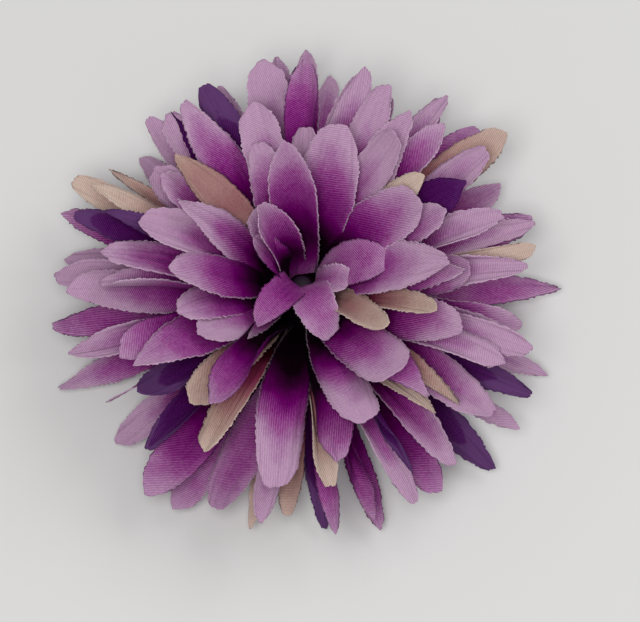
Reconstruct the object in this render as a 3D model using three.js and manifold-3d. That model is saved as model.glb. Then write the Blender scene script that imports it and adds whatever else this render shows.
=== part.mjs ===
// An artificial chrysanthemum head: nine die-cut satin rosettes threaded on a moulded pin, over a
// moulded calyx. It rests on the flat underside of the calyx.
// Millimetres, +Z up. The origin is the centre of the calyx's underside.
import * as THREE from "three";
import { mergeVertices } from "three/addons/utils/BufferGeometryUtils.js";
import Module from "manifold-3d";

const wasm = await Module();
wasm.setup();

// Driving dimensions
const CLOTH = 0.6; // petal thickness
const HUB_CLOTH = 0.8; // thickness of a rosette's uncut middle
const CLEARANCE = 0.3; // gap between pieces that lie against each other
const BORE_RADIUS = 1.8;
const HUB_RADIUS_LOW = 11.6; // uncut middle of the lowest rosette
const HUB_RADIUS_TOP = 4.6; // and of the top one
const ROOT_TAB = 1.4; // flat tab by which a petal is rooted in the middle
const ROOT_INSET = 0.2; // how far inside the middle's edge a petal turns up
const CALYX_HEIGHT = 7.2;
const CALYX_BASE_RADIUS = 6.5;
const CALYX_RIM_RADIUS = 11.2;
const PIN_RADIUS = 1.5;
const PIN_HEAD_RADIUS = 2.6;
const PIN_HEAD_HEIGHT = 1.4;
const POCKET_FLOOR = 2; // height of the floor of the calyx's pocket for the pin

// Each rosette, lowest first. Its petals follow one arc, which leaves the middle at the slope `root` and
// reaches the slope `tip`, in degrees above the horizontal, after `length`. Each petal is listed as its
// azimuth in degrees and its own length. Those of the crown also have slopes of their own, because some of
// them rise over the pin's head before they turn out: `late` above 1 keeps a petal's bend for its outer end,
// and `sway` is how far its tip leans to its left.
const ROSETTES = [
  {
    length: 55, root: 5, tip: -13,
    petals: [
      [4, 50.5], [30, 44], [57, 49], [84, 46], [111, 47], [138, 42], [168, 46], [199, 50], [220, 44.5],
      [241, 48], [257, 46], [273, 45], [288, 47.5], [318, 50], [344, 49.5],
    ],
  },
  {
    length: 55, root: 17, tip: -7,
    petals: [
      [17, 47.5], [44, 49], [71, 45], [98, 48], [125, 44], [161, 50], [189, 50], [212, 44], [237, 52],
      [253, 47.5], [267, 47], [285, 48.5], [303, 50], [325, 50.5], [350, 43],
    ],
  },
  {
    length: 54, root: 29, tip: -1,
    petals: [
      [17, 49], [38, 53], [64, 43], [90, 51.5], [113, 45], [132, 47], [157, 52], [180, 51], [200, 49.5],
      [229, 47], [262, 53], [276, 55.5], [294, 54], [309, 50], [330, 54], [346, 46],
    ],
  },
  {
    length: 53, root: 40, tip: 5,
    petals: [
      [5, 51.5], [31, 49], [52, 51], [76, 46.5], [100, 49], [128, 46], [151, 47.5], [166, 52], [188, 51],
      [222, 47], [240, 45], [277, 49], [297, 53], [310, 42], [323, 54], [339, 54],
    ],
  },
  {
    length: 51, root: 50, tip: 11,
    petals: [
      [357, 52], [13, 48], [44, 47], [73, 50], [89, 48], [115, 49], [131, 48], [147, 41.5], [161, 52],
      [186, 47], [208, 47], [233, 42], [264, 54], [283, 50], [318, 50], [330, 52],
    ],
  },
  {
    length: 48, root: 59, tip: 17,
    petals: [
      [355, 44], [27, 47], [51, 48], [63, 50], [92, 51], [109, 43], [127, 50], [149, 42], [169, 51],
      [181, 49], [215, 51], [240, 47], [289, 48], [312, 48], [331, 46],
    ],
  },
  {
    length: 44, root: 67, tip: 23,
    petals: [
      [14, 42], [37, 41], [56, 45], [85, 38], [113, 36], [142, 44], [168, 46], [202, 38], [222, 36],
      [304, 46], [335, 44], [352, 46],
    ],
  },
  {
    length: 40, root: 75, tip: 25,
    petals: [
      [29, 40], [68, 42], [99, 30], [128, 24], [160, 42], [192, 42], [319, 37], [353, 46],
    ],
  },
  {
    length: 34, root: 85, tip: 40,
    petals: [
      [98, 43, { root: 76, tip: 42, late: 1, sway: 0, cup: 1.3, width: 13 }],
      [130, 33, { root: 84, tip: 56, late: 1, sway: 0, cup: 1.2, width: 11 }],
      [165, 27, { root: 88, tip: 58, late: 1, sway: 0, cup: 1.2, width: 9 }],
      [236, 29, { root: 112, tip: -26, late: 1.2, sway: 0, cup: 0.8, width: 9 }],
      [288, 30, { root: 110, tip: -30, late: 1.2, sway: 0, cup: 0.8, width: 9 }],
      [332, 22, { root: 100, tip: 20, late: 1.2, sway: 0, cup: 0.8, width: 8 }],
      [0, 31, { root: 88, tip: 25, late: 1, sway: 0, cup: 1, width: 8 }],
    ],
  },
];

const WIDTH = 11; // of a petal's cut
const CUP = 0.3; // mean height of a petal's edges over its midline, which are below it in many
// How far a petal may stray from its rosette's rule, either way.
const STRAY = { width: 0.1, root: 1.5, tip: 4, cup: 1.6, twist: 11, sway: 2 };
const ROOT_SHARE = 0.8; // share of the middle's edge that a full round of roots takes up
const FULL_ROUND = 16; // petals in a full round
const WIDEST_AT = 0.64; // share of the length at which a petal is widest
const WIDENING = 1.9; // how soon a petal widens from its root: evenly at 1, and sooner above it
const TIP_ROUNDING = 0.07; // share of the length by which the tip is rounded off at its sides
const MIDLINE_STEPS = 12; // in summing up a midline's course

const SATIN = { color: 0x9a5ba6, roughness: 0.6, metalness: 0 };
const CALYX_PLASTIC = { color: 0x4f6b3a, roughness: 0.5, metalness: 0 };
const PIN_PLASTIC = { color: 0x2b1230, roughness: 0.5, metalness: 0 };

const rad = THREE.MathUtils.degToRad;

// A seeded row of draws between -1 and 1.
function seededDraws(seed) {
  const modulus = 2147483647;
  let state = 48271 * seed;
  return () => {
    state = (state * 16807) % modulus;
    return (2 * state) / modulus - 1;
  };
}

// Half of a petal's width at a share v of its length.
function halfWidth({ width, rootWidth }, v) {
  const full = width / 2;
  if (v < WIDEST_AT)
    return THREE.MathUtils.lerp(rootWidth / 2, full, 1 - (1 - v / WIDEST_AT) ** WIDENING);
  const q = (v - WIDEST_AT) / (1 - WIDEST_AT);
  return full * (1 - q ** 2.2) ** 0.55;
}

// Where a petal's midline is at a share v of its length: how far out, how high, and its slope.
function midline(petal, v) {
  const slopeAt = (share) =>
    rad(petal.root + (petal.tip - petal.root) * ((share * petal.length) / petal.arc) ** petal.late);
  const step = (v * petal.length) / MIDLINE_STEPS;
  let [out, up] = [0, 0];
  for (let i = 0; i < MIDLINE_STEPS; i++) {
    const slope = slopeAt((v * (i + 0.5)) / MIDLINE_STEPS);
    out += step * Math.cos(slope);
    up += step * Math.sin(slope);
  }
  return [out, up, slopeAt(v)];
}

// A petal as a bent sheet: a flat root tab, then its bent blade. Each row of the sheet is one station
// along it, and the stations close up towards the tip.
function petalSheet(petal, across, stations) {
  const sheet = new THREE.PlaneGeometry(2, stations, across, stations);
  const place = sheet.getAttribute("position");
  for (let i = 0; i < place.count; i++) {
    const u = place.getX(i);
    const station = Math.round(place.getY(i) + stations / 2);
    if (station === 0) {
      place.setXYZ(i, petal.radius - ROOT_TAB, (u * petal.rootWidth) / 2, petal.height);
      continue;
    }
    const rounding = station === stations ? TIP_ROUNDING * u * u : 0;
    const v = 1 - (1 - (station - 1) / (stations - 1)) ** 1.25 - rounding;
    const [out, up, slope] = midline(petal, v);
    const side = u * halfWidth(petal, Math.min(v, 1 - TIP_ROUNDING));
    const turn = rad(petal.twist) * v;
    const lift = petal.cup * u * u * Math.sin(Math.PI * Math.min(v, 0.9)) + side * Math.sin(turn);
    place.setXYZ(
      i,
      petal.radius + out - lift * Math.sin(slope),
      side * Math.cos(turn) + petal.sway * v * v,
      petal.height + up + lift * Math.cos(slope),
    );
  }
  return sheet.rotateZ(rad(petal.azimuth));
}

// A closed blade of an even thickness, its two faces split into triangles alike.
function thicken(sheet, thickness) {
  sheet.computeVertexNormals();
  const place = sheet.getAttribute("position");
  const normal = sheet.getAttribute("normal");
  const index = Array.from(sheet.index.array);
  const count = place.count;
  const points = [];
  for (const sign of [1, -1])
    for (let i = 0; i < count; i++)
      for (const axis of [0, 1, 2])
        points.push(place.getComponent(i, axis) + (sign * normal.getComponent(i, axis) * thickness) / 2);
  const faces = [...index];
  const edges = new Set();
  for (let i = 0; i < index.length; i += 3) {
    const [a, b, c] = index.slice(i, i + 3);
    faces.push(c + count, b + count, a + count);
    for (const [from, to] of [[a, b], [b, c], [c, a]]) edges.add(`${from} ${to}`);
  }
  for (const edge of edges) {
    const [from, to] = edge.split(" ").map(Number);
    if (!edges.has(`${to} ${from}`)) faces.push(to, from, from + count, to, from + count, to + count);
  }
  return new THREE.BufferGeometry()
    .setAttribute("position", new THREE.Float32BufferAttribute(points, 3))
    .setIndex(faces);
}

function toSolid(geometry) {
  const bare = geometry.clone();
  bare.deleteAttribute("normal");
  bare.deleteAttribute("uv");
  const merged = mergeVertices(bare, 1e-4);
  return new wasm.Manifold(
    new wasm.Mesh({
      numProp: 3,
      vertProperties: new Float32Array(merged.getAttribute("position").array),
      triVerts: new Uint32Array(merged.index.array),
    }),
  );
}

function toMesh(solid, name, look) {
  const made = solid.getMesh();
  const geometry = new THREE.BufferGeometry()
    .setAttribute("position", new THREE.BufferAttribute(made.vertProperties, 3))
    .setIndex(new THREE.BufferAttribute(made.triVerts, 1));
  const mesh = new THREE.Mesh(geometry, new THREE.MeshStandardMaterial(look));
  mesh.name = name;
  return mesh;
}

// A solid turned round the Z axis from [radius, height] corners, listed so that its faces point out.
function turned(corners, sides) {
  const outline = corners.map(([radius, height]) => new THREE.Vector2(radius, height));
  return toSolid(new THREE.LatheGeometry(outline, sides).rotateX(Math.PI / 2));
}

function hubHeight(level) {
  return CALYX_HEIGHT + CLEARANCE + level * (HUB_CLOTH + CLEARANCE);
}

function hubRadius(level) {
  return THREE.MathUtils.lerp(HUB_RADIUS_LOW, HUB_RADIUS_TOP, level / (ROSETTES.length - 1));
}

// The petals of one rosette, each straying a little from the rosette's rule.
function petalsOf(rosette, level) {
  const draw = seededDraws(level + 1);
  return rosette.petals.map(([azimuth, length, own]) => ({
    azimuth,
    length,
    arc: own ? length : rosette.length,
    late: 1,
    width: WIDTH * (1 + STRAY.width * draw()),
    root: rosette.root + STRAY.root * draw(),
    tip: rosette.tip + STRAY.tip * draw(),
    cup: CUP + STRAY.cup * draw(),
    twist: STRAY.twist * draw(),
    sway: STRAY.sway * draw(),
    rootWidth: (ROOT_SHARE * 2 * Math.PI * hubRadius(level)) / FULL_ROUND,
    radius: hubRadius(level) - ROOT_INSET,
    height: hubHeight(level) + HUB_CLOTH / 2,
    ...own,
  }));
}

function rosetteSolid(rosette, level) {
  const [bottom, top, radius] = [hubHeight(level), hubHeight(level) + HUB_CLOTH, hubRadius(level)];
  let solid = turned(
    [[BORE_RADIUS, bottom], [radius, bottom], [radius, top], [BORE_RADIUS, top], [BORE_RADIUS, bottom]],
    FULL_ROUND,
  );
  for (const petal of petalsOf(rosette, level))
    solid = solid.add(toSolid(thicken(petalSheet(petal, 2, 5), CLOTH)));
  return solid;
}

// The moulded cup under the rosettes, with a pocket for the pin and six short sepals.
function calyxSolid() {
  const sides = 18;
  const sepals = 6;
  const rim = CALYX_HEIGHT - 1.4;
  let solid = turned(
    [
      [0, 0],
      [CALYX_BASE_RADIUS, 0],
      [CALYX_BASE_RADIUS + 0.8, 2.6],
      [CALYX_RIM_RADIUS, rim],
      [CALYX_RIM_RADIUS, CALYX_HEIGHT],
      [BORE_RADIUS, CALYX_HEIGHT],
      [BORE_RADIUS, POCKET_FLOOR],
      [0, POCKET_FLOOR],
    ],
    sides,
  );
  for (let i = 0; i < sepals; i++) {
    const sepal = {
      azimuth: (360 / sepals) * i,
      length: 15,
      arc: 15,
      late: 1,
      width: 9,
      rootWidth: 6,
      root: -4,
      tip: -14,
      cup: 0.5,
      twist: 0,
      sway: 0,
      radius: CALYX_RIM_RADIUS - ROOT_INSET,
      height: CALYX_HEIGHT - 0.7,
    };
    solid = solid.add(toSolid(thicken(petalSheet(sepal, 2, 4), 0.9)));
  }
  return solid;
}

// The pin that holds the stack: a low domed head and a shank that stands in the calyx's pocket.
function pinSolid() {
  const under = hubHeight(ROSETTES.length - 1) + HUB_CLOTH + CLEARANCE;
  const top = under + PIN_HEAD_HEIGHT;
  const foot = POCKET_FLOOR + CLEARANCE;
  return turned(
    [
      [0, foot],
      [PIN_RADIUS - 0.4, foot],
      [PIN_RADIUS, foot + 0.8],
      [PIN_RADIUS, under],
      [PIN_HEAD_RADIUS, under],
      [PIN_HEAD_RADIUS, under + 0.6],
      [PIN_HEAD_RADIUS * 0.7, top - 0.15],
      [0, top],
    ],
    16,
  );
}

const head = new THREE.Group();
head.add(toMesh(calyxSolid(), "calyx", CALYX_PLASTIC));
head.add(toMesh(pinSolid(), "pin", PIN_PLASTIC));
ROSETTES.forEach((rosette, level) => {
  head.add(toMesh(rosetteSolid(rosette, level), `rosette_${level + 1}`, SATIN));
});

export default head;
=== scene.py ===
# An artificial chrysanthemum head: nine rosettes of printed satin on a moulded pin, over a calyx.
# The shape rules are in millimetres, as the head is cut and curled, and the meshes are in metres.
import math
import random

import bmesh
import bpy
from mathutils import Matrix, Vector


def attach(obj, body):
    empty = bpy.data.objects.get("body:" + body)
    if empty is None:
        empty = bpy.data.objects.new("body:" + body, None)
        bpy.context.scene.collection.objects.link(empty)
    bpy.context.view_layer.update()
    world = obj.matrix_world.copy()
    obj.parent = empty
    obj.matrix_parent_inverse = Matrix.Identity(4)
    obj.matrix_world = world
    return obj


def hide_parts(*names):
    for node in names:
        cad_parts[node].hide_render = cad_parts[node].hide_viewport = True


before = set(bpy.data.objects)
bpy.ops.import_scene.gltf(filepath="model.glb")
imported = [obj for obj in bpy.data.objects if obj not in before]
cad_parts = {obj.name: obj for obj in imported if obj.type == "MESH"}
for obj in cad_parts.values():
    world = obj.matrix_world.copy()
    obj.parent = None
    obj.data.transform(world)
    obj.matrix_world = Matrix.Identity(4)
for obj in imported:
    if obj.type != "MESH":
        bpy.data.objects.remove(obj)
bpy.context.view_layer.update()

MM = 0.001

# Where the photo was taken from: a long lens, high in front of the head.
PICTURE_WIDTH = 640
PICTURE_HEIGHT = 622
PIXELS_PER_MM = 4.2
ORIGIN_PIXEL = (302, 310)
ELEVATION = math.radians(72)
CAMERA_DISTANCE = 1.5  # metres
SENSOR_WIDTH = 36  # mm


def place_camera():
    data = bpy.data.cameras.new("camera")
    data.sensor_fit = "HORIZONTAL"
    data.sensor_width = SENSOR_WIDTH
    frame_width = PICTURE_WIDTH / PIXELS_PER_MM * MM
    data.lens = SENSOR_WIDTH * CAMERA_DISTANCE / frame_width
    camera = bpy.data.objects.new("camera", data)
    bpy.context.collection.objects.link(camera)
    back = Vector((0, -math.cos(ELEVATION), math.sin(ELEVATION)))
    up = Vector((0, math.sin(ELEVATION), math.cos(ELEVATION)))
    right = Vector((1, 0, 0))
    across = (PICTURE_WIDTH / 2 - ORIGIN_PIXEL[0]) / PIXELS_PER_MM * MM
    down = (PICTURE_HEIGHT / 2 - ORIGIN_PIXEL[1]) / PIXELS_PER_MM * MM
    aim = right * across - up * down
    axes = Matrix((right, up, back)).transposed().to_4x4()
    camera.matrix_world = Matrix.Translation(aim + back * CAMERA_DISTANCE) @ axes
    bpy.context.scene.camera = camera


place_camera()


def linear(hex_text):
    """An sRGB hex colour as linear RGBA."""
    shares = [int(hex_text[i : i + 2], 16) / 255 for i in (1, 3, 5)]
    return [s / 12.92 if s <= 0.04045 else ((s + 0.055) / 1.055) ** 2.4 for s in shares] + [1]


def add(tree, kind, links=None, **settings):
    """Adds a node. links gives its inputs by name or number, each a socket or a plain value."""
    made = tree.nodes.new(kind)
    for key, value in settings.items():
        setattr(made, key, value)
    for key, value in (links or {}).items():
        if isinstance(value, bpy.types.NodeSocket):
            tree.links.new(value, made.inputs[key])
        else:
            made.inputs[key].default_value = value
    return made


def ramp(tree, factor, stops):
    """A colour ramp from (place, hex or grey) stops."""
    made = add(tree, "ShaderNodeValToRGB", {"Fac": factor})
    elements = made.color_ramp.elements
    while len(elements) < len(stops):
        elements.new(0.5)
    for element, (place, colour) in zip(elements, stops):
        element.position = place
        element.color = linear(colour) if isinstance(colour, str) else (colour, colour, colour, 1)
    return made.outputs["Color"]


def math_node(tree, operation, *values):
    return add(tree, "ShaderNodeMath", dict(enumerate(values)), operation=operation).outputs["Value"]


def noise(tree, place, scale, detail, roughness=0.5):
    settings = {"Vector": place, "Scale": scale, "Detail": detail, "Roughness": roughness}
    return add(tree, "ShaderNodeTexNoise", settings).outputs["Fac"]


def bump(tree, height, distance, strength, under=None):
    """A bump node's normal. `under` is another bump's, which this one is laid over."""
    settings = {"Height": height, "Distance": distance, "Strength": strength}
    if under is not None:
        settings["Normal"] = under
    return add(tree, "ShaderNodeBump", settings).outputs["Normal"]


def mixed(tree, factor, first, second, blend="MIX"):
    """Two colours mixed. The places are those of the node's factor and its two colour inputs."""
    made = add(tree, "ShaderNodeMix", data_type="RGBA", blend_type=blend)
    for place, value in ((0, factor), (6, first), (7, second)):
        if isinstance(value, bpy.types.NodeSocket):
            tree.links.new(value, made.inputs[place])
        else:
            made.inputs[place].default_value = value
    return made.outputs[2]


def new_material(name):
    material = bpy.data.materials.new(name)
    material.use_nodes = True
    material.node_tree.nodes.clear()
    return material, material.node_tree


TWILL_PITCH = 0.42  # mm between the satin's diagonal lines
TWILL_LEAN = math.radians(38)
WAVE_PERIOD = math.pi / 10  # of Blender's wave texture at scale 1
BLEED_SCALE = 0.16  # per mm, of the slow unevenness of the dye
BLEED = 0.2  # how far along the petal it reaches, as a share of the length
GRAIN_SCALE = 1.7  # per mm, of the dye's fine unevenness
GRAIN = 0.08
MARGIN_POWER = 1.7  # how late towards the margin the dye falls back
SEARED_SHARE = 0.18  # of petals, whose edge the hot cutter has darkened
SEARED_RIM = "#3a1840"
SEE_THROUGH = 0.24  # share of the light that comes through the cloth


def satin(name, dye, rim, painted_highlight_colour, glow):
    """Woven polyester satin, printed before it is cut: fine diagonal twill lines with a painted highlight
    on their floats, dye that runs out from the root in a soft tongue, near black at the root partly as
    painted shade, and edges where cut yarns show paler, partly as a painted highlight. `rim` is the colour
    of cut yarns, `painted_highlight_colour` that of the painted highlight on the floats and `glow` tints
    the light that comes through."""
    material, tree = new_material(name)
    cut = add(tree, "ShaderNodeUVMap", uv_map="Cut").outputs["UV"]
    petal = add(tree, "ShaderNodeAttribute", attribute_name="petal")
    chance = add(tree, "ShaderNodeAttribute", attribute_name="chance").outputs["Fac"]
    parts = add(tree, "ShaderNodeSeparateXYZ", {0: petal.outputs["Vector"]})
    along, aside, edge = parts.outputs

    # How far the dye has run: it reaches furthest in the middle of the petal, bleeds unevenly, and
    # differs from petal to petal.
    margin = math_node(tree, "POWER", aside, MARGIN_POWER)
    fall = math_node(tree, "MULTIPLY_ADD", chance, 0.26, 0.02)
    bleed = noise(tree, cut, BLEED_SCALE, 2)
    grain = noise(tree, cut, GRAIN_SCALE, 2, 0.6)
    run = math_node(tree, "MULTIPLY_ADD", margin, fall, along)
    run = math_node(tree, "ADD", run, math_node(tree, "MULTIPLY_ADD", bleed, BLEED, -BLEED / 2))
    run = math_node(tree, "ADD", run, math_node(tree, "MULTIPLY_ADD", grain, GRAIN, -GRAIN / 2))
    run = math_node(tree, "ADD", run, math_node(tree, "MULTIPLY_ADD", chance, 0.24, -0.08))
    colour = ramp(tree, run, dye)

    # The weave: twill lines, broken into short floats, with a painted highlight on the floats where they
    # peak on the paler part of the dye.
    lean = add(tree, "ShaderNodeMapping", {"Vector": cut, "Rotation": (0, 0, TWILL_LEAN)}).outputs[0]
    waves = {"Scale": WAVE_PERIOD / TWILL_PITCH, "Distortion": 1.2, "Detail": 2, "Detail Scale": 1.5}
    twill = add(
        tree, "ShaderNodeTexWave", {"Vector": lean} | waves, wave_type="BANDS", bands_direction="X"
    ).outputs["Fac"]
    stretched = add(tree, "ShaderNodeMapping", {"Vector": lean, "Scale": (2.2, 1.0, 1)}).outputs[0]
    floats = noise(tree, stretched, 1.0, 2, 0.7)
    weave = math_node(tree, "MULTIPLY_ADD", floats, 0.6, math_node(tree, "MULTIPLY", twill, 0.5))
    shade = ramp(tree, weave, [(0.2, 0.72), (0.75, 1.0)])
    colour = mixed(tree, 1.0, colour, shade, blend="MULTIPLY")
    # Painted highlight: a pale colour mixed onto the peaks of the floats, only where the dye has run out
    # pale.
    painted_glint = ramp(tree, weave, [(0.56, 0.0), (0.82, 0.5)])
    painted_glint = math_node(tree, "MULTIPLY", painted_glint, ramp(tree, run, [(0.56, 0.01), (0.9, 1.0)]))
    colour = mixed(tree, painted_glint, colour, linear(painted_highlight_colour))

    # The cut edge: pale yarn ends within about 0.4 mm of it, paler partly as a painted highlight where the
    # frayed threads catch the light, or a seared line.
    at_edge = ramp(tree, edge, [(0.0, 1.0), (0.38, 0.0)])
    seared = ramp(tree, chance, [(SEARED_SHARE, 1.0), (SEARED_SHARE + 0.01, 0.0)])
    rim_colour = mixed(tree, seared, linear(rim), linear(SEARED_RIM))
    frayed_edge_and_highlight = math_node(tree, "MULTIPLY", at_edge, ramp(tree, floats, [(0.3, 0.2), (0.6, 0.9)]))
    colour = mixed(tree, frayed_edge_and_highlight, colour, rim_colour)

    # Lengthwise creases from the curling iron, much longer than they are wide.
    length = math_node(tree, "MULTIPLY", along, 1.6)
    lengthwise = add(tree, "ShaderNodeCombineXYZ", {0: length, 1: aside, 2: chance}).outputs[0]
    spread = add(tree, "ShaderNodeMapping", {"Vector": lengthwise, "Scale": (1, 2.4, 37)}).outputs[0]
    creased = bump(tree, noise(tree, spread, 1.0, 2), 1.7 * MM, 0.6)
    surface = bump(tree, weave, 0.09 * MM, 0.8, creased)
    cloth = add(
        tree,
        "ShaderNodeBsdfPrincipled",
        {
            "Base Color": colour,
            "Roughness": 0.44,
            "Sheen Weight": 0.01,
            "Sheen Roughness": 0.4,
            "Sheen Tint": linear("#f0b8ea"),
            "Specular IOR Level": 0.07,
            "Specular Tint": linear("#e8a4e4"),
            "Normal": surface,
        },
    )
    tinted = mixed(tree, 1.0, colour, linear(glow), blend="MULTIPLY")
    through = add(tree, "ShaderNodeBsdfTranslucent", {"Color": tinted, "Normal": surface})
    both = add(tree, "ShaderNodeMixShader", {0: SEE_THROUGH, 1: cloth.outputs[0], 2: through.outputs[0]})
    add(tree, "ShaderNodeOutputMaterial", {"Surface": both.outputs[0]})
    return material


# Places along the dye's run, with the colour there. Its near-black stops at the root are partly the dye's
# own deep purple and partly painted shade, for the shade deep between the petals.
LILAC_DYE_AND_ROOT_SHADE = [
    (0.0, "#040002"),
    (0.3, "#160010"),
    (0.42, "#480040"),
    (0.58, "#800078"),
    (0.7, "#960e8c"),
    (0.8, "#aa449f"),
    (0.9, "#c285bc"),
    (1.0, "#d8acd1"),
]
VIOLET_DYE_AND_ROOT_SHADE = [
    (0.0, "#040002"),
    (0.32, "#20001a"),
    (0.54, "#4a0052"),
    (0.86, "#50025c"),
    (0.97, "#5c2068"),
    (1.0, "#724880"),
]
BEIGE_DYE_AND_ROOT_SHADE = [
    (0.0, "#070002"),
    (0.3, "#500620"),
    (0.48, "#96365a"),
    (0.62, "#b4727a"),
    (0.76, "#c8a096"),
    (1.0, "#ead4c4"),
]
SATINS = {
    "L": satin("satin_lilac", LILAC_DYE_AND_ROOT_SHADE, "#e8cbe2", "#e8cbe2", "#d465dc"),
    "V": satin("satin_violet", VIOLET_DYE_AND_ROOT_SHADE, "#4a2c5c", "#6c4284", "#c060e0"),
    "B": satin("satin_beige", BEIGE_DYE_AND_ROOT_SHADE, "#ecdcd0", "#ecdcd0", "#ff9c94"),
}


POLYETHYLENE_IOR = 1.51


def moulded(name, hex_text, deep, roughness):
    """Injection-moulded polyethylene: an even, waxy colour with a faint moulding grain."""
    material, tree = new_material(name)
    place = add(tree, "ShaderNodeTexCoord").outputs["Object"]
    cloud = noise(tree, place, 140.0, 3)
    grain = noise(tree, place, 2600.0, 2)
    colour = mixed(tree, cloud, linear(deep), linear(hex_text))
    rough = math_node(tree, "MULTIPLY_ADD", cloud, 0.16, roughness - 0.08)
    body = add(
        tree,
        "ShaderNodeBsdfPrincipled",
        {
            "Base Color": colour,
            "Roughness": rough,
            "IOR": POLYETHYLENE_IOR,
            "Normal": bump(tree, grain, 0.04 * MM, 0.35),
        },
    )
    add(tree, "ShaderNodeOutputMaterial", {"Surface": body.outputs[0]})
    return material


CALYX_PLASTIC = moulded("moulded_polyethylene_green", "#56743f", "#43602f", 0.5)
# The pin's dark plum is painted shade, so that it sinks into the shade at the head's middle.
PIN_PLASTIC_PAINTED_SHADE = moulded("moulded_polyethylene_plum_painted_shade", "#2b1230", "#1e0b22", 0.6)

# How the head is put together, by the same rules as the solids, in mm and degrees.
HUB_CLOTH = 0.8
CLEARANCE = 0.3
BORE_RADIUS = 1.8
HUB_RADIUS_LOW = 11.6
HUB_RADIUS_TOP = 4.6
ROOT_INSET = 0.2
CALYX_HEIGHT = 7.2
WIDTH = 11
CUP = 0.3
STRAY = {"width": 0.1, "root": 1.5, "tip": 4, "cup": 1.6, "twist": 11, "sway": 2}
ROOT_SHARE = 0.8
FULL_ROUND = 16
WIDEST_AT = 0.64  # share of the length
WIDENING = 1.9  # how soon a petal widens from its root: evenly at 1, and sooner above it
TIP_ROUNDING = 0.07

# Each rosette, lowest first: its arc (length, root slope, tip slope), and its petals as azimuth, length and
# the colour of its dye, lilac unless it is named.
ROSETTES = [
    (
        (55, 5, -13),
        "4:50.5 30:44 57:49 84:46 111:47 138:42 168:46 199:50 220:44.5 241:48 257:46:B 273:45:V "
        "288:47.5 318:50:V 344:49.5",
    ),
    (
        (55, 17, -7),
        "17:47.5 44:49 71:45 98:48 125:44 161:50 189:50 212:44 237:52 253:47.5 267:47:B 285:48.5 "
        "303:50 325:50.5 350:43",
    ),
    (
        (54, 29, -1),
        "17:49 38:53:B 64:43 90:51.5 113:45 132:47 157:52:B 180:51 200:49.5 229:47:V 262:53 276:55.5 "
        "294:54 309:50 330:54:V 346:46",
    ),
    (
        (53, 40, 5),
        "5:51.5:B 31:49 52:51 76:46.5 100:49 128:46 151:47.5:B 166:52:V 188:51 222:47:V 240:45:B "
        "277:49:B 297:53:V 310:42:B 323:54 339:54",
    ),
    (
        (51, 50, 11),
        "357:52 13:48 44:47 73:50 89:48:V 115:49:V 131:48:V 147:41.5 161:52:B 186:47 208:47 233:42:B "
        "264:54 283:50 318:50:B 330:52",
    ),
    (
        (48, 59, 17),
        "355:44 27:47:V 51:48 63:50 92:51 109:43 127:50 149:42 169:51:V 181:49 215:51 240:47 289:48 "
        "312:48 331:46",
    ),
    (
        (44, 67, 23),
        "14:42 37:41:B 56:45 85:38 113:36 142:44:B 168:46 202:38 222:36 304:46 335:44:B 352:46",
    ),
    (
        (40, 75, 25),
        "29:40 68:42 99:30 128:24 160:42 192:42 319:37:B 353:46",
    ),
    (
        (34, 85, 40),
        "98:43 130:33 165:27 236:29 288:30 332:22 0:31",
    ),
]
# What the petals of the crown do on their own, by azimuth.
CROWN = {
    98: {"root": 76, "tip": 42, "late": 1, "sway": 0, "cup": 1.3, "width": 13},
    130: {"root": 84, "tip": 56, "late": 1, "sway": 0, "cup": 1.2, "width": 11},
    165: {"root": 88, "tip": 58, "late": 1, "sway": 0, "cup": 1.2, "width": 9},
    236: {"root": 112, "tip": -26, "late": 1.2, "sway": 0, "cup": 0.8, "width": 9},
    288: {"root": 110, "tip": -30, "late": 1.2, "sway": 0, "cup": 0.8, "width": 9},
    332: {"root": 100, "tip": 20, "late": 1.2, "sway": 0, "cup": 0.8, "width": 8},
    0: {"root": 88, "tip": 25, "late": 1, "sway": 0, "cup": 1, "width": 8},
}


def lerp(a, b, share):
    return a + (b - a) * share


def smooth(share):
    share = min(max(share, 0), 1)
    return share * share * (3 - 2 * share)


def hub_height(level):
    return CALYX_HEIGHT + CLEARANCE + level * (HUB_CLOTH + CLEARANCE)


def hub_radius(level):
    return lerp(HUB_RADIUS_LOW, HUB_RADIUS_TOP, level / (len(ROSETTES) - 1))


def seeded_draws(seed):
    """The same seeded row of draws between -1 and 1 as the part's source makes."""
    modulus = 2147483647
    state = 48271 * seed
    while True:
        state = state * 16807 % modulus
        yield 2 * state / modulus - 1


def petals_of(level):
    """The petals of one rosette, each straying from the rule as its solid does."""
    (arc, root, tip), listed = ROSETTES[level]
    draw = seeded_draws(level + 1)
    petals = []
    for text in listed.split():
        azimuth, length, *dye = text.split(":")
        petal = {
            "azimuth": int(azimuth),
            "length": float(length),
            "arc": arc,
            "late": 1,
            "width": WIDTH * (1 + STRAY["width"] * next(draw)),
            "root": root + STRAY["root"] * next(draw),
            "tip": tip + STRAY["tip"] * next(draw),
            "cup": CUP + STRAY["cup"] * next(draw),
            "twist": STRAY["twist"] * next(draw),
            "sway": STRAY["sway"] * next(draw),
            "root_width": ROOT_SHARE * 2 * math.pi * hub_radius(level) / FULL_ROUND,
            "radius": hub_radius(level) - ROOT_INSET,
            "height": hub_height(level) + HUB_CLOTH / 2,
            "dye": dye[0] if dye else "L",
        }
        if level == len(ROSETTES) - 1:
            petal.update(CROWN[petal["azimuth"]], arc=petal["length"])
        petals.append(petal)
    return petals


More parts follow.
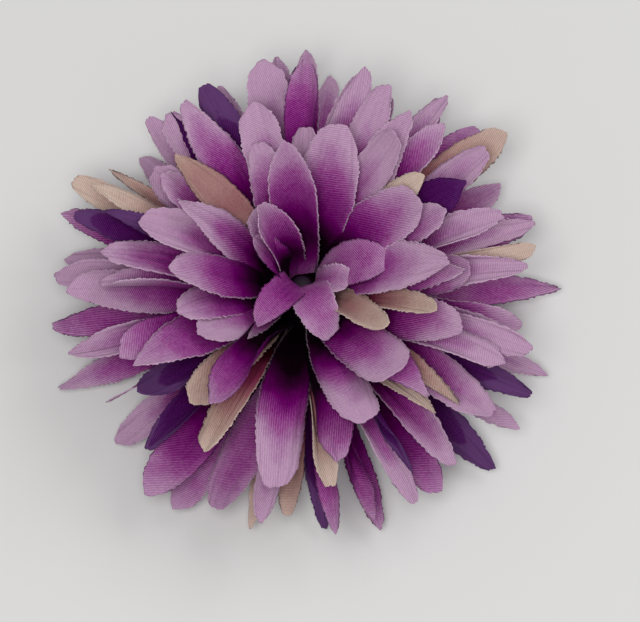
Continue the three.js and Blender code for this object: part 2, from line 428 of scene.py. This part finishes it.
ACROSS = 12
ALONG = 90
THREAD_WIDTH = 0.2  # mm, of a yarn that has come loose
SATIN_THICKNESS = 0.22  # mm, the cloth and its stiffening
JAGGED = 0.25  # mm, how far cut yarn ends stand out at the edge
WANDER = 0.22  # mm, how far the edge strays over its length
SCALLOP = 0.06  # mm, of the shorter waves in the edge
NARROW = 0.8  # mm of half width, under which a petal's edge is less jagged
CURL_FROM = 0.72  # share of the length at which the tip's own curl starts
FOLD_RUN = 0.16  # share of the length over which a margin turns over
CREASE_WIDTH = 0.16  # of the midline's crease, as a share of half the width
NICK = 0.007  # share of the length, how far the tip's edge wavers
FINE_NICK = 0.003
FLUTTER = 0.25  # mm, how far one margin lifts while the other drops
WAVES = 4  # random phases that a petal's waves are drawn with
HUB_SIDES = 48
HUB_RIM = 3  # mm
HUB_CHANCE = 0.3
AREA_STEPS = 60


def half_width(petal, v):
    full = petal["width"] / 2
    v = v / (1 - petal["thread"])
    if v < WIDEST_AT:
        return lerp(petal["root_width"] / 2, full, 1 - (1 - v / WIDEST_AT) ** WIDENING)
    q = min((v - WIDEST_AT) / (1 - WIDEST_AT), 1)
    tapered = full * (1 - q ** petal["point"]) ** petal["sharp"]
    return max(tapered, THREAD_WIDTH / 2)


def midline(petal):
    """How far out and how high the midline is at each station, in mm, and its slope."""
    stations = []
    out = up = 0.0
    step = petal["length"] / ALONG
    for i in range(ALONG + 1):
        share = i / ALONG
        slope = slope_at(petal, share)
        stations.append((out, up, slope))
        middle = slope_at(petal, share + 0.5 / ALONG)
        out += step * math.cos(middle)
        up += step * math.sin(middle)
    return stations


def slope_at(petal, share):
    bend = (petal["tip"] - petal["root"]) * (share * petal["length"] / petal["arc"]) ** petal["late"]
    curl = petal["curl"] * max(0, (share - CURL_FROM) / (1 - CURL_FROM)) ** 1.5
    return math.radians(petal["root"] + bend + curl)


def folded(fold, full, side, lift, v):
    """A petal's cross-section with one margin turned over: `fold` gives where, how far round and from where
    along the petal."""
    at, angle, start = fold
    line = at * full
    beyond = (side - line) * math.copysign(1, at)
    if beyond <= 0:
        return side, lift
    bend = math.radians(angle) * smooth((v - start) / FOLD_RUN)
    side = line + math.copysign(beyond * math.cos(bend), at)
    return side, lift + beyond * math.sin(bend)


def add_petal(mesh, layers, petal, chance):
    """Adds one petal to a rosette's mesh: a grid, laid out as the cloth is cut and then curled."""
    cut_layer, petal_layer, chance_layer = layers
    made = bmesh.ops.create_grid(mesh, x_segments=ACROSS, y_segments=ALONG, size=1)
    stations = midline(petal)
    turn_to = Matrix.Rotation(math.radians(petal["azimuth"]), 4, "Z")
    own = chance.uniform(0, 1)
    full = petal["width"] / 2
    waves = [chance.uniform(0, math.tau) for _ in range(WAVES)]
    jitter = {side: [chance.uniform(-1, 1) for _ in range(ALONG + 1)] for side in (-1, 1)}
    flat = {}
    for vert in made["verts"]:
        u = vert.co.x
        t = (vert.co.y + 1) / 2
        row = round(t * ALONG)
        rounding = TIP_ROUNDING * petal["blunt"] * t**4
        nick = NICK * math.sin(5 * u + waves[3]) + FINE_NICK * math.sin(14 * u + waves[0])
        v = t - rounding * u * u - nick * t**8
        half = half_width(petal, t - rounding)
        side = u * half
        if abs(u) > 0.99:
            side += math.copysign(JAGGED, u) * jitter[round(u)][row] * smooth(t * 4) * smooth(half / NARROW)
        side += abs(u) * math.copysign(WANDER, u) * math.sin(7 * t + waves[0] + u)
        scallop = math.sin(31 * t + waves[1] + 2 * u) * smooth(half / NARROW)
        side += abs(u) * math.copysign(SCALLOP, u) * scallop
        side += petal["skew"] * full * smooth((t - 0.55) / 0.45) * (1 - 0.5 * t)
        whole = min(int(v * ALONG), ALONG - 1)
        share = v * ALONG - whole
        a, b = stations[whole], stations[whole + 1]
        out, up, slope = (lerp(a[k], b[k], share) for k in range(3))
        roll = 2 * petal["gutter"] * petal["cup"] / full * math.sin(math.pi * min(v, 0.86))
        rolled = abs(roll) > 0.01
        flat_side = side
        lift = full * (1 - math.cos(side / full * roll)) / roll if rolled else 0
        side = full * math.sin(side / full * roll) / roll if rolled else side
        turn = math.radians(petal["twist"]) * v
        if petal["fold"]:
            side, lift = folded(petal["fold"], full, side, lift, v)
        lift += petal["crease"] * math.exp(-((u / CREASE_WIDTH) ** 2)) * smooth(v * 3) * (1 - v)
        lift += petal["ripple"] * abs(u) ** 2 * smooth(v * 2) * math.sin(9 * v + waves[1] + 1.3 * u)
        lift += FLUTTER * math.sin(5 * v + waves[2]) * u * smooth(v * 2)
        x = side * math.cos(turn) - lift * math.sin(turn)
        y = side * math.sin(turn) + lift * math.cos(turn)
        place = Vector(
            (
                petal["radius"] + out - y * math.sin(slope),
                x + petal["sway"] * v * v,
                petal["height"] + up + y * math.cos(slope),
            )
        )
        vert.co = (turn_to @ place) * MM
        flat[vert] = petal["weft"] @ turn_to @ Vector((petal["radius"] + v * petal["length"], flat_side, 0))
        rim = min((1 - abs(u)) * half, (1 - t) * petal["length"] + (1 - abs(u)) * half * 0.3)
        # The dye's run, held low near the root by `deep` or raised there by `pale`: the near-black it gives
        # at the root is partly painted shade.
        if petal["pale"]:
            dyed_and_shaded = lerp(petal["root_dye"], v, smooth(v / petal["pale"]))
        else:
            dyed_and_shaded = v * smooth(v / petal["deep"])
        vert[petal_layer] = Vector((dyed_and_shaded, abs(u), rim))
        vert[chance_layer] = own
    material = "LVB".index(petal["dye"])
    for face in {face for vert in made["verts"] for face in vert.link_faces}:
        face.material_index = material
        face.smooth = True
        for loop in face.loops:
            loop[cut_layer].uv = flat[loop.vert].xy


def flat_area(petal):
    """The area of a petal's cut, in square millimetres."""
    widths = [2 * half_width(petal, (i + 0.5) / AREA_STEPS) for i in range(AREA_STEPS)]
    return sum(widths) * petal["length"] / AREA_STEPS


def add_hub(mesh, layers, level):
    """The rosette's uncut middle: a disc with a hole for the pin."""
    cut_layer, petal_layer, chance_layer = layers
    height = (hub_height(level) + HUB_CLOTH / 2) * MM
    rim = bmesh.ops.create_circle(
        mesh, segments=HUB_SIDES, radius=BORE_RADIUS * MM, matrix=Matrix.Translation((0, 0, height))
    )["verts"]
    edges = list({edge for vert in rim for edge in vert.link_edges})
    grown = bmesh.ops.extrude_edge_only(mesh, edges=edges)["geom"]
    outer = [g for g in grown if isinstance(g, bmesh.types.BMVert)]
    scale = (hub_radius(level) - ROOT_INSET) / BORE_RADIUS
    bmesh.ops.scale(mesh, vec=(scale, scale, 1), verts=outer)
    faces = [g for g in grown if isinstance(g, bmesh.types.BMFace)]
    for face in faces:
        if face.normal.z < 0:
            face.normal_flip()
        face.smooth = True
        for loop in face.loops:
            loop[cut_layer].uv = loop.vert.co.xy / MM
    # It takes the near-black colour of a petal's root, partly painted shade, and lies far from any cut
    # edge.
    for vert in rim + outer:
        vert[petal_layer] = Vector((0, 0, HUB_RIM))
        vert[chance_layer] = HUB_CHANCE


def finish_mesh(name, mesh, materials):
    data = bpy.data.meshes.new(name)
    mesh.to_mesh(data)
    mesh.free()
    for material in materials:
        data.materials.append(material)
    piece = bpy.data.objects.new(name, data)
    bpy.context.collection.objects.link(piece)
    return piece


# Cuts of a petal's tip: how late it narrows, how sharply it closes, and how far its end is rounded off.
TIPS = {
    "pointed": (1.3, 0.9, 0.3),
    "ogive": (1.8, 0.7, 0.6),
    "round": (2.4, 0.5, 1.0),
    "square": (3.6, 0.4, 0.9),
}
CROWN_ROOT = {"root_width": 4, "radius": 3.4}  # mm, of the crown's petals, set close round the pin
# Petals that stand out, by rosette and azimuth: the cut of the tip, width, cup and what else is theirs.
# `pale` starts the dye at `root_dye` of its run, and brings it back to its own by that share of the length.
# `deep` holds the run back instead, so that the petal stays dark up to there, darker partly as painted
# shade. `thread` is the share of the length that is one loose yarn. `gutter` times the cup is how far the
# petal rolls lengthwise, and `skew` leans its tip to one side.
SPECIAL = {
    (1, 199): ("pointed", 9, -0.8, {"crease": 0.9}),
    (1, 220): ("square", 8, 0.4, {}),
    (1, 241): ("round", 10, -0.8, {"pale": 1.6, "root_dye": 0.88}),
    (1, 318): ("ogive", 10.5, -0.6, {}),
    (1, 4): ("pointed", 10, -0.5, {"pale": 1.6, "root_dye": 0.92}),
    (2, 189): ("ogive", 8.5, -0.5, {"pale": 1.6, "root_dye": 0.9}),
    (2, 212): ("pointed", 5, 0.5, {"twist": 60}),
    (2, 237): ("round", 12, 1.8, {}),
    (2, 253): ("round", 11.5, -1.2, {"gutter": 1, "pale": 1.6, "root_dye": 0.86}),
    (2, 303): ("round", 10, -0.6, {}),
    (3, 90): ("ogive", 8, 0.6, {}),
    (3, 64): ("ogive", 7.5, 0.5, {}),
    (4, 76): ("ogive", 8, -0.4, {}),
    (5, 73): ("ogive", 9, -0.5, {}),
    (3, 38): ("round", 13, -0.4, {"pale": 1, "twist": 0, "curl": 20, "gutter": 1}),
    (3, 157): ("square", 8.5, -0.4, {"pale": 1}),
    (3, 229): ("ogive", 10, 2.0, {"gutter": 1.4, "twist": 25}),
    (3, 330): ("ogive", 10, -0.5, {}),
    (4, 100): ("square", 10.5, -0.5, {}),
    (4, 151): ("pointed", 7, 0.6, {"twist": 30, "pale": 1}),
    (4, 222): ("round", 12, 2.4, {"gutter": 1.4, "curl": 30}),
    (4, 240): ("square", 9.5, 0.4, {"gutter": 1, "curl": 0}),
    (4, 297): ("pointed", 7, 2.4, {"twist": 35}),
    (4, 310): ("pointed", 8.5, 0.4, {}),
    (5, 115): ("round", 11, -0.6, {}),
    (5, 131): ("ogive", 9, -0.5, {"thread": 0.06}),
    (5, 161): ("ogive", 9, -0.6, {"pale": 1}),
    (5, 233): ("square", 11.5, -0.5, {"gutter": 1, "curl": 0, "pale": 1.2}),
    (5, 264): ("round", 13, -2.4, {"deep": 0.8, "gutter": 1, "curl": 0}),
    (5, 283): ("ogive", 12, -1.8, {"deep": 0.8}),
    (5, 318): ("pointed", 8, 0.6, {"pale": 1.4}),
    (6, 27): ("square", 12, -0.5, {"thread": 0.05, "skew": -0.6}),
    (6, 51): ("ogive", 10, 0.5, {}),
    (6, 127): ("ogive", 10.5, -0.4, {}),
    (6, 169): ("pointed", 10, 0.8, {}),
    (6, 215): ("ogive", 11.5, -0.5, {}),
    (6, 240): ("ogive", 11.5, 3.6, {"gutter": 1.6, "deep": 0.7, "curl": 20}),
    (6, 289): ("square", 12, -1.6, {"deep": 0.8}),
    (6, 312): ("pointed", 11, -1, {}),
    (6, 331): ("round", 11, -0.8, {}),
    (7, 37): ("round", 10.5, -0.6, {"pale": 1}),
    (7, 142): ("ogive", 13, 0.4, {"fold": (0.2, 165, 0.1), "pale": 2}),
    (7, 304): ("square", 13.5, -1.2, {}),
    (7, 335): ("round", 8.5, 0.4, {}),
    (7, 352): ("pointed", 10, -0.8, {}),
    (8, 29): ("square", 13.5, 0.8, {}),
    (8, 68): ("round", 14, 0.8, {"curl": 0, "twist": 0, "gutter": 1}),
    (8, 160): ("pointed", 10, -0.5, {}),
    (8, 319): ("round", 10, 0.3, {"fold": (-0.25, 165, 0.1), "pale": 1.2}),
    (8, 353): ("ogive", 13, 0.4, {"curl": 0, "twist": 0, "gutter": 1}),
    (9, 98): ("ogive", 12.5, 1.4, CROWN_ROOT | {"root_width": 8, "curl": 0, "twist": -6}),
    (9, 130): ("ogive", 10.5, 1.2, CROWN_ROOT | {"root_width": 6, "curl": 0}),
    (9, 165): ("round", 8, 1.6, CROWN_ROOT | {"curl": 0, "twist": 0, "deep": 0.6, "pale": 0}),
    (9, 236): ("ogive", 9, 0.8, CROWN_ROOT | {"pale": 1.5, "root_dye": 0.8, "curl": 0}),
    (9, 288): ("round", 10, 0.8, CROWN_ROOT | {"pale": 1.5, "root_dye": 0.9, "curl": 0}),
    (9, 332): ("square", 8, 0.8, CROWN_ROOT | {"pale": 1.5, "root_dye": 0.92, "curl": 0, "twist": 0}),
    (9, 0): (
        "round",
        11,
        0.6,
        CROWN_ROOT | {"pale": 1.8, "root_dye": 0.96, "curl": -20, "twist": 0, "gutter": 1},
    ),
}


# How much narrower the dressed petals are cut, by the colour of their dye.
DYE_WIDTH = {"L": 1, "V": 0.84, "B": 0.78}
LOW_ROSETTES = 3  # how many of the lowest have narrower, more pointed petals
FIRST_SEED = 101
TURNED_OVER = 0.2  # share of petals with one margin folded, from the third rosette up
TOP_PALE = 0.42
ROOT_DYE = 0.76


def dress(petal, level, chance):
    """Draws at random what a petal does beyond its solid, and then gives it what is listed for it."""
    low = level < LOW_ROSETTES
    petal["curl"] = chance.uniform(-26, 22)
    petal["crease"] = chance.uniform(-0.8, 1.0)
    petal["ripple"] = chance.uniform(0.1, 0.7)
    petal["width"] *= chance.uniform(0.6, 0.86) if low else chance.uniform(0.72, 0.98)
    petal["tip"] += chance.uniform(-5, 5)
    petal["twist"] += chance.uniform(-16, 16)
    petal["point"] = chance.uniform(1.7, 2.8) if low else chance.uniform(2.0, 3.4)
    petal["sharp"] = chance.uniform(0.5, 0.7) if low else chance.uniform(0.45, 0.62)
    petal["blunt"] = chance.uniform(0.3, 1.2)
    petal["gutter"] = chance.choice((1.2, 1.7, 2.2, 2.8))
    petal["fold"] = None
    if chance.random() < TURNED_OVER and level > 1:
        petal["fold"] = (
            chance.choice((-1, 1)) * chance.uniform(0.35, 0.6),
            chance.uniform(90, 150),
            chance.uniform(0.1, 0.4),
        )
    petal["thread"] = 0
    petal["skew"] = chance.uniform(-0.5, 0.5)
    petal["pale"] = TOP_PALE if level == len(ROSETTES) - 1 else 0
    # How far from its root a petal stays dark, partly as painted shade.
    petal["deep"] = chance.uniform(0.3, 0.5)
    petal["root_dye"] = ROOT_DYE
    special = SPECIAL.get((level + 1, petal["azimuth"]))
    if special:
        cut, petal["width"], petal["cup"], more = special
        petal["fold"] = None
        petal["point"], petal["sharp"], petal["blunt"] = TIPS[cut]
        petal.update(more)
    petal["width"] *= DYE_WIDTH[petal["dye"]]


def make_rosette(level):
    chance = random.Random(FIRST_SEED + level)
    mesh = bmesh.new()
    layers = (
        mesh.loops.layers.uv.new("Cut"),
        mesh.verts.layers.float_vector.new("petal"),
        mesh.verts.layers.float.new("chance"),
    )
    weft = Matrix.Rotation(chance.uniform(0, math.tau), 4, "Z")
    area = math.pi * (hub_radius(level) - ROOT_INSET) ** 2
    for petal in petals_of(level):
        dress(petal, level, chance)
        petal["weft"] = weft
        add_petal(mesh, layers, petal, chance)
        area += flat_area(petal)
    add_hub(mesh, layers, level)
    piece = finish_mesh(f"satin_rosette_{level + 1}", mesh, list(SATINS.values()))
    cloth = piece.modifiers.new("cloth", "SOLIDIFY")
    cloth.thickness = SATIN_THICKNESS * MM
    cloth.offset = 0
    cloth.use_even_offset = False
    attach(piece, "root")
    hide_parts(f"rosette_{level + 1}")


for rosette_level in range(len(ROSETTES)):
    make_rosette(rosette_level)

# Calyx and pin: moulded pieces, turned bodies with rounded corners. The sepals have a midrib and veins.
CALYX_BASE_RADIUS = 6.5
CALYX_RIM_RADIUS = 11.2
CALYX_FOOT = 1.4  # mm, where the foot starts to flare
CALYX_RIM = 1.4  # mm, depth of its rim
POCKET_FLOOR = 2
PIN_RADIUS = 1.5
PIN_HEAD_RADIUS = 2.6
PIN_HEAD_HEIGHT = 1.4
SEPALS = 6
SEPAL_LENGTH = 15
SEPAL_THICKNESS = 0.9
SEPAL_ROOT = 3.2  # mm, half its width there
SEPAL_HALF = 4.4  # mm, half its greatest width
CALYX_SIDES = 72
PIN_SIDES = 48


def spun(mesh, corners, sides):
    """Adds a closed body turned round the Z axis from (radius, height) corners, its poles closed."""
    verts = [mesh.verts.new((radius * MM, 0, height * MM)) for radius, height in corners]
    edges = [mesh.edges.new(pair) for pair in zip(verts, verts[1:])]
    bmesh.ops.spin(
        mesh,
        geom=verts + edges,
        cent=(0, 0, 0),
        axis=(0, 0, 1),
        angle=math.tau,
        steps=sides,
        use_merge=True,
    )
    bmesh.ops.remove_doubles(mesh, verts=mesh.verts, dist=0.01 * MM)
    bmesh.ops.recalc_face_normals(mesh, faces=mesh.faces)


def round_corner(centre, radius, start, end, steps=4):
    """Points on an arc about centre, from one angle in degrees to another."""
    angles = [math.radians(lerp(start, end, i / steps)) for i in range(steps + 1)]
    return [(centre[0] + radius * math.cos(a), centre[1] + radius * math.sin(a)) for a in angles]


def add_sepal(mesh, azimuth):
    """One moulded sepal: a short tapered blade that hangs a little below its root."""
    grid = bmesh.ops.create_grid(mesh, x_segments=8, y_segments=14, size=1)["verts"]
    turn_to = Matrix.Rotation(azimuth, 4, "Z")
    for vert in grid:
        u, v = vert.co.x, (vert.co.y + 1) / 2
        slope = math.radians(lerp(-4, -9, v))
        taper = (1 - (max(v - 0.5, 0) / 0.5) ** 1.9) ** 0.8
        half = lerp(SEPAL_ROOT, SEPAL_HALF, smooth(v / 0.5)) * taper
        lift = 0.5 * u * u * math.sin(math.pi * v) - 0.35 * math.exp(-((u / 0.14) ** 2)) * (1 - v)
        lift -= 0.12 * math.cos(9 * abs(u) - 14 * v) * (1 - v)
        out = CALYX_RIM_RADIUS - ROOT_INSET - 1 + v * (SEPAL_LENGTH + 1) * math.cos(slope)
        up = CALYX_HEIGHT - 0.7 + v * SEPAL_LENGTH * math.sin(slope) + lift
        vert.co = (turn_to @ Vector((out, u * half, up - SEPAL_THICKNESS / 2))) * MM
    faces = list({face for vert in grid for face in vert.link_faces})
    bmesh.ops.recalc_face_normals(mesh, faces=faces)
    if sum(face.normal.z for face in faces) > 0:
        bmesh.ops.reverse_faces(mesh, faces=faces)
    bmesh.ops.solidify(mesh, geom=faces, thickness=-SEPAL_THICKNESS * MM)


def make_calyx():
    mesh = bmesh.new()
    rim = CALYX_HEIGHT - CALYX_RIM
    flare = [
        (lerp(CALYX_BASE_RADIUS + 0.2, CALYX_RIM_RADIUS, (i / 8) ** 1.5), lerp(CALYX_FOOT, rim, i / 8))
        for i in range(8)
    ]
    # The gate's shallow mark and the underside, then the foot, the flare, the rim and the pocket.
    corners = [(0, 0.3), (1.4, 0.3), (1.6, 0), (5.9, 0)]
    corners += round_corner((CALYX_BASE_RADIUS - 0.5, 0.5), 0.5, -90, 0)
    corners += flare
    corners += round_corner((CALYX_RIM_RADIUS - 0.4, rim + 0.4), 0.4, -60, 0)
    corners += round_corner((CALYX_RIM_RADIUS - 0.4, CALYX_HEIGHT - 0.4), 0.4, 0, 90)
    corners += [(BORE_RADIUS + 0.3, CALYX_HEIGHT), (BORE_RADIUS, CALYX_HEIGHT - 0.3)]
    corners += [(BORE_RADIUS, POCKET_FLOOR), (0, POCKET_FLOOR)]
    spun(mesh, corners, CALYX_SIDES)
    for i in range(SEPALS):
        add_sepal(mesh, math.tau * i / SEPALS)
    for face in mesh.faces:
        face.smooth = True
    return mesh


def make_pin():
    mesh = bmesh.new()
    under = hub_height(len(ROSETTES) - 1) + HUB_CLOTH + CLEARANCE
    foot = POCKET_FLOOR + CLEARANCE
    dome = [
        (PIN_HEAD_RADIUS * math.cos(angle), under + 0.5 + (PIN_HEAD_HEIGHT - 0.5) * math.sin(angle))
        for angle in (math.radians(90 * i / 10) for i in range(10))
    ]
    corners = [(0, foot), (PIN_RADIUS - 0.5, foot)]
    corners += [(PIN_RADIUS - 0.2, foot + 0.2), (PIN_RADIUS, foot + 0.8)]
    corners += [(PIN_RADIUS, under - 0.2), (PIN_RADIUS + 0.2, under), (PIN_HEAD_RADIUS - 0.15, under)]
    corners += [(PIN_HEAD_RADIUS, under + 0.15)]
    corners += dome + [(0, under + PIN_HEAD_HEIGHT)]
    spun(mesh, corners, PIN_SIDES)
    for face in mesh.faces:
        face.smooth = True
    return mesh


for name, mesh, material in (
    ("calyx", make_calyx(), CALYX_PLASTIC),
    ("pin", make_pin(), PIN_PLASTIC_PAINTED_SHADE),
):
    moulding = finish_mesh(f"moulded_{name}", mesh, [material])
    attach(moulding, "root")
    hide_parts(name)


TABLE_HALF = 1.5  # metres


def make_table():
    """A pale laminate table top, matt and faintly mottled."""
    mesh = bmesh.new()
    bmesh.ops.create_grid(mesh, x_segments=1, y_segments=1, size=TABLE_HALF)
    material, tree = new_material("matt_laminate")
    place = add(tree, "ShaderNodeTexCoord").outputs["Object"]
    colour = mixed(tree, noise(tree, place, 9.0, 3), linear("#dcdcdb"), linear("#e0e0df"))
    grain = bump(tree, noise(tree, place, 900.0, 2), 0.03 * MM, 0.2)
    top = add(
        tree,
        "ShaderNodeBsdfPrincipled",
        {"Base Color": colour, "Roughness": 0.55, "Specular IOR Level": 0.3, "Normal": grain},
    )
    add(tree, "ShaderNodeOutputMaterial", {"Surface": top.outputs[0]})
    table = finish_mesh("table_top", mesh, [material])


def add_light(name, place, aim, size, watts, hex_text):
    """A round soft light at a place, turned to its aim, in metres."""
    data = bpy.data.lights.new(name, "AREA")
    data.shape = "DISK"
    data.size = size
    data.energy = watts
    data.color = linear(hex_text)[:3]
    light = bpy.data.objects.new(name, data)
    light.location = place
    light.rotation_euler = (Vector(aim) - Vector(place)).to_track_quat("-Z", "Y").to_euler()
    bpy.context.collection.objects.link(light)


make_table()
# A window behind and to the right, and a brighter ceiling light in front.
WINDOW = {"size": 0.8, "watts": 4, "hex_text": "#ffffff"}
CEILING = {"size": 0.55, "watts": 8.7, "hex_text": "#fffefd"}
add_light("window", place=(0.62, 0.38, 0.95), aim=(0, 0, 0.02), **WINDOW)
add_light("ceiling", place=(-0.12, -0.42, 1.25), aim=(-0.03, 0, 0.02), **CEILING)

world = bpy.data.worlds.new("daylight")
world.use_nodes = True
sky = world.node_tree.nodes["Background"].inputs
sky["Color"].default_value = linear("#f2f2f3")
sky["Strength"].default_value = 0.34
bpy.context.scene.world = world
bpy.context.scene.view_settings.view_transform = "Standard"
